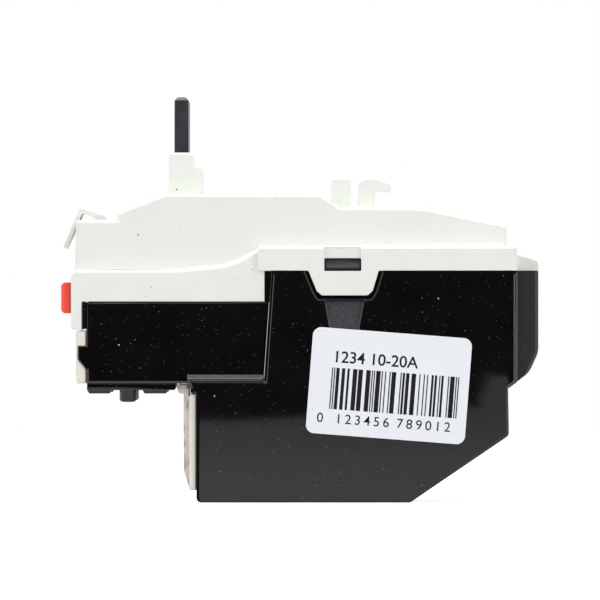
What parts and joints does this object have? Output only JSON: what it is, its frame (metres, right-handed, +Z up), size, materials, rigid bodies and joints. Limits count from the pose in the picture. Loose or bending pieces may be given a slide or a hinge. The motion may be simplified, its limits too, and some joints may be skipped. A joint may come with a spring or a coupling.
{
  "type": "thermal overload relay",
  "caption": "Plug-in thermal overload relay: black housing under a light grey cover, flat connection blades and hooks on top, hinged clear flap, red stop button, cream terminal fronts.",
  "frame": {"origin": "middle of the relay's length and width, on the plane of the flat bottom it stands on", "axes": "-X is the front with the buttons, +X the rear, +Y across the poles, +Z up towards the connection blades"},
  "size_m": [0.09, 0.0541, 0.0763],
  "materials": {
    "black_housing": "black moulded plastic, glossy",
    "grey_cover": "light grey moulded plastic, fine matt grain",
    "cream_front": "cream moulded plastic",
    "clear_flap": "yellowish clear plastic",
    "red_button": "red plastic",
    "blue_button": "blue plastic",
    "dial_white": "white plastic",
    "label": "white sticker",
    "blade_metal": "darkened tinned copper",
    "steel": "zinc plated",
    "copper_alloy": "bare",
    "bimetal": "rolled",
    "heater": "ribbon on glass sleeve",
    "inner_moulding": "dark grey moulded plastic",
    "slide_moulding": "natural moulded plastic"
  },
  "bodies": {
    "relay_body": {"base_housing": "black_housing", "top_cover": "grey_cover", "control_block": "black_housing", "control_bottom_plate": "black_housing", "control_terminal_front": "cream_front", "power_terminal_front": "cream_front", "side_label": "label", "inner_frame": "inner_moulding", "lever_pivot_pin": "steel", "connection_blade_1": "blade_metal", "connection_blade_2": "blade_metal", "connection_blade_3": "blade_metal", "load_bar_1": "copper_alloy", "load_bar_2": "copper_alloy", "load_bar_3": "copper_alloy", "contact_bar_1": "copper_alloy", "contact_bar_2": "copper_alloy", "contact_bar_3": "copper_alloy", "contact_bar_4": "copper_alloy", "reset_spring": "steel", "stop_spring": "steel"},
    "flap": {"clear_cover": "clear_flap"},
    "dial": {"setting_dial": "dial_white", "dial_cam": "slide_moulding"},
    "reset": {"reset_button": "blue_button"},
    "stop": {"stop_button": "red_button"},
    "outer_slide": {"outer_slide_bar": "slide_moulding"},
    "inner_slide": {"inner_slide_bar": "slide_moulding"},
    "differential": {"differential_lever": "slide_moulding"},
    "trip_lever": {"trip_lever": "slide_moulding", "compensation_strip": "bimetal"},
    "contact_slide": {"contact_carrier": "slide_moulding", "nc_bridge": "copper_alloy", "no_bridge": "copper_alloy", "trip_flag": "slide_moulding"},
    "bimetal_1": {"bimetal_strip_1": "bimetal", "heater_winding_1": "heater"},
    "bimetal_2": {"bimetal_strip_2": "bimetal", "heater_winding_2": "heater"},
    "bimetal_3": {"bimetal_strip_3": "bimetal", "heater_winding_3": "heater"},
    "power_clamp_1": {"power_clamp_1": "steel"},
    "power_screw_1": {"power_screw_1": "steel"},
    "power_clamp_2": {"power_clamp_2": "steel"},
    "power_screw_2": {"power_screw_2": "steel"},
    "power_clamp_3": {"power_clamp_3": "steel"},
    "power_screw_3": {"power_screw_3": "steel"},
    "control_clamp_1": {"control_clamp_1": "steel"},
    "control_screw_1": {"control_screw_1": "steel"},
    "control_clamp_2": {"control_clamp_2": "steel"},
    "control_screw_2": {"control_screw_2": "steel"},
    "control_clamp_3": {"control_clamp_3": "steel"},
    "control_screw_3": {"control_screw_3": "steel"},
    "control_clamp_4": {"control_clamp_4": "steel"},
    "control_screw_4": {"control_screw_4": "steel"}
  },
  "joints": [
    {"name": "flap_swing", "type": "hinge", "parent": "relay_body", "child": "flap", "pos_m": [-0.0379, 0.009, 0.0533], "axis": [0, 1, 0], "range_deg": [-22, 90]},
    {"name": "dial_turn", "type": "hinge", "parent": "relay_body", "child": "dial", "pos_m": [-0.041, 0.009, 0.0482], "axis": [-1, 0, 0], "range_deg": [-135, 135]},
    {"name": "reset_press", "type": "slide", "parent": "relay_body", "child": "reset", "axis": [1, 0, 0], "range_m": [0, 0.0015], "stiffness_N_per_m": 300, "springref_m": -0.003, "deforming": ["reset_spring"]},
    {"name": "stop_press", "type": "slide", "parent": "relay_body", "child": "stop", "axis": [1, 0, 0], "range_m": [0, 0.0015], "stiffness_N_per_m": 300, "springref_m": -0.003, "deforming": ["stop_spring"]},
    {"name": "trip_slide", "type": "slide", "parent": "relay_body", "child": "outer_slide", "axis": [0, 1, 0], "range_m": [0, 0.0015], "stiffness_N_per_m": 200},
    {"name": "inner_follow", "type": "slide", "parent": "relay_body", "child": "inner_slide", "axis": [0, 1, 0], "range_m": [0, 0.0015]},
    {"name": "differential_turn", "type": "hinge", "parent": "outer_slide", "child": "differential", "pos_m": [0.02, 0.0179, 0.0375], "axis": [0, 0, 1], "range_deg": [0, 6]},
    {"name": "bimetal_1_bend", "type": "hinge", "parent": "relay_body", "child": "bimetal_1", "pos_m": [0.018, -0.0145, 0.0121], "axis": [-1, 0, 0], "range_deg": [0, 4.2]},
    {"name": "bimetal_2_bend", "type": "hinge", "parent": "relay_body", "child": "bimetal_2", "pos_m": [0.018, 0, 0.0121], "axis": [-1, 0, 0], "range_deg": [0, 4.2]},
    {"name": "bimetal_3_bend", "type": "hinge", "parent": "relay_body", "child": "bimetal_3", "pos_m": [0.018, 0.0145, 0.0121], "axis": [-1, 0, 0], "range_deg": [0, 4.2]},
    {"name": "trip_lever_turn", "type": "hinge", "parent": "relay_body", "child": "trip_lever", "pos_m": [0.002, 0.0205, 0.042], "axis": [0, 0, 1], "range_deg": [0, 10]},
    {"name": "contact_travel", "type": "slide", "parent": "relay_body", "child": "contact_slide", "axis": [1, 0, 0], "range_m": [0, 0.0012]},
    {"name": "power_clamp_1_travel", "type": "slide", "parent": "relay_body", "child": "power_clamp_1", "axis": [1, 0, 0], "range_m": [0, 0.0044]},
    {"name": "power_screw_1_turn", "type": "hinge", "parent": "power_clamp_1", "child": "power_screw_1", "pos_m": [-0.0145, -0.0145, 0.012], "axis": [1, 0, 0], "range_deg": [0, 1982]},
    {"name": "power_clamp_2_travel", "type": "slide", "parent": "relay_body", "child": "power_clamp_2", "axis": [1, 0, 0], "range_m": [0, 0.0044]},
    {"name": "power_screw_2_turn", "type": "hinge", "parent": "power_clamp_2", "child": "power_screw_2", "pos_m": [-0.0145, 0, 0.012], "axis": [1, 0, 0], "range_deg": [0, 1982]},
    {"name": "power_clamp_3_travel", "type": "slide", "parent": "relay_body", "child": "power_clamp_3", "axis": [1, 0, 0], "range_m": [0, 0.0044]},
    {"name": "power_screw_3_turn", "type": "hinge", "parent": "power_clamp_3", "child": "power_screw_3", "pos_m": [-0.0145, 0.0145, 0.012], "axis": [1, 0, 0], "range_deg": [0, 1982]},
    {"name": "control_clamp_1_travel", "type": "slide", "parent": "relay_body", "child": "control_clamp_1", "axis": [1, 0, 0], "range_m": [0, 0.0022]},
    {"name": "control_screw_1_turn", "type": "hinge", "parent": "control_clamp_1", "child": "control_screw_1", "pos_m": [-0.0372, -0.018, 0.0284], "axis": [1, 0, 0], "range_deg": [0, 1322]},
    {"name": "control_clamp_2_travel", "type": "slide", "parent": "relay_body", "child": "control_clamp_2", "axis": [1, 0, 0], "range_m": [0, 0.0022]},
    {"name": "control_screw_2_turn", "type": "hinge", "parent": "control_clamp_2", "child": "control_screw_2", "pos_m": [-0.0372, -0.006, 0.0284], "axis": [1, 0, 0], "range_deg": [0, 1322]},
    {"name": "control_clamp_3_travel", "type": "slide", "parent": "relay_body", "child": "control_clamp_3", "axis": [1, 0, 0], "range_m": [0, 0.0022]},
    {"name": "control_screw_3_turn", "type": "hinge", "parent": "control_clamp_3", "child": "control_screw_3", "pos_m": [-0.0372, 0.006, 0.0284], "axis": [1, 0, 0], "range_deg": [0, 1322]},
    {"name": "control_clamp_4_travel", "type": "slide", "parent": "relay_body", "child": "control_clamp_4", "axis": [1, 0, 0], "range_m": [0, 0.0022]},
    {"name": "control_screw_4_turn", "type": "hinge", "parent": "control_clamp_4", "child": "control_screw_4", "pos_m": [-0.0372, 0.018, 0.0284], "axis": [1, 0, 0], "range_deg": [0, 1322]}
  ],
  "couplings": [
    {"joint": "inner_follow", "follows": "trip_slide", "ratio": 1},
    {"joint": "bimetal_1_bend", "follows": "trip_slide", "rad_per_m": 44.484},
    {"joint": "bimetal_2_bend", "follows": "trip_slide", "rad_per_m": 44.484},
    {"joint": "bimetal_3_bend", "follows": "trip_slide", "rad_per_m": 44.484},
    {"joint": "trip_lever_turn", "follows": "trip_slide", "rad_per_m": 111.11},
    {"joint": "contact_travel", "follows": "trip_slide", "ratio": 0.8},
    {"joint": "power_screw_1_turn", "follows": "power_clamp_1_travel", "rad_per_m": 7854},
    {"joint": "power_screw_2_turn", "follows": "power_clamp_2_travel", "rad_per_m": 7854},
    {"joint": "power_screw_3_turn", "follows": "power_clamp_3_travel", "rad_per_m": 7854},
    {"joint": "control_screw_1_turn", "follows": "control_clamp_1_travel", "rad_per_m": 10472},
    {"joint": "control_screw_2_turn", "follows": "control_clamp_2_travel", "rad_per_m": 10472},
    {"joint": "control_screw_3_turn", "follows": "control_clamp_3_travel", "rad_per_m": 10472},
    {"joint": "control_screw_4_turn", "follows": "control_clamp_4_travel", "rad_per_m": 10472}
  ]
}
